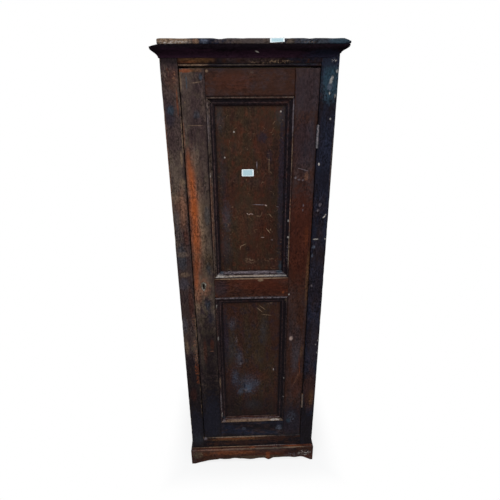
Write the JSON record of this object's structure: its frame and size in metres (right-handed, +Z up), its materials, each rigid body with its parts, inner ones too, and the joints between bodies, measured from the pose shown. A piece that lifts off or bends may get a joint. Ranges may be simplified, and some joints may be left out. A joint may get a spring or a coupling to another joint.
{
  "type": "meat safe",
  "caption": "Tall narrow food cupboard of dark stained wood: one lockable panelled door on butt hinges, moulded cornice and plinth, shelves inside and vented sides.",
  "frame": {"origin": "on the floor under the middle of the whole piece", "axes": "+Z up, the door faces -Y, +X to the right seen from the front"},
  "size_m": [0.618, 0.424, 1.81],
  "materials": {
    "stained_wood": "dark stained and worn",
    "panel_wood": "dark stained, mottled",
    "rubbed_wood": "stain rubbed through",
    "weathered_wood": "weathered",
    "raw_wood": "unfinished, aged",
    "dark_iron": "tarnished",
    "lock_iron": "tarnished",
    "old_brass": "dull, gone grey",
    "zinc": "dull grey zinc"
  },
  "bodies": {
    "carcass": {"left_side": "stained_wood", "right_side": "stained_wood", "left_face_stile": "stained_wood", "right_face_stile": "stained_wood", "top_face_rail": "stained_wood", "bottom_face_rail": "rubbed_wood", "top_board": "weathered_wood", "bottom_board": "raw_wood", "back_board_1": "raw_wood", "back_board_2": "raw_wood", "back_board_3": "raw_wood", "back_board_4": "raw_wood", "cornice_front": "stained_wood", "cornice_left": "stained_wood", "cornice_right": "stained_wood", "plinth_front": "rubbed_wood", "plinth_left": "rubbed_wood", "plinth_right": "rubbed_wood", "shelf_1": "raw_wood", "shelf_2": "raw_wood", "shelf_3": "raw_wood", "shelf_bearer_left_1": "raw_wood", "shelf_bearer_left_2": "raw_wood", "shelf_bearer_left_3": "raw_wood", "shelf_bearer_right_1": "raw_wood", "shelf_bearer_right_2": "raw_wood", "shelf_bearer_right_3": "raw_wood", "vent_gauze_left": "zinc", "vent_gauze_right": "zinc", "door_stop": "raw_wood", "upper_hinge_frame_leaf": "dark_iron", "lower_hinge_frame_leaf": "dark_iron", "upper_hinge_pin": "dark_iron", "lower_hinge_pin": "dark_iron"},
    "door": {"door_lock_stile": "stained_wood", "door_hinge_stile": "stained_wood", "door_top_rail": "stained_wood", "door_lock_rail": "stained_wood", "door_bottom_rail": "stained_wood", "door_upper_panel": "panel_wood", "door_lower_panel": "panel_wood", "upper_moulding_left": "stained_wood", "upper_moulding_right": "stained_wood", "upper_moulding_bottom": "stained_wood", "upper_moulding_top": "stained_wood", "lower_moulding_left": "stained_wood", "lower_moulding_right": "stained_wood", "lower_moulding_bottom": "stained_wood", "lower_moulding_top": "stained_wood", "upper_hinge_door_leaf": "dark_iron", "lower_hinge_door_leaf": "dark_iron", "escutcheon": "old_brass", "lock_plate": "lock_iron", "lock_case": "lock_iron", "lock_spring": "lock_iron"},
    "bolt": {"lock_bolt": "lock_iron"}
  },
  "joints": [
    {"name": "door_swing", "type": "hinge", "parent": "carcass", "child": "door", "pos_m": [0.227, -0.1925, 0.158], "axis": [0, 0, 1], "range_deg": [0, 175]},
    {"name": "bolt_throw", "type": "slide", "parent": "door", "child": "bolt", "axis": [-1, 0, 0], "range_m": [0, 0.012]}
  ]
}
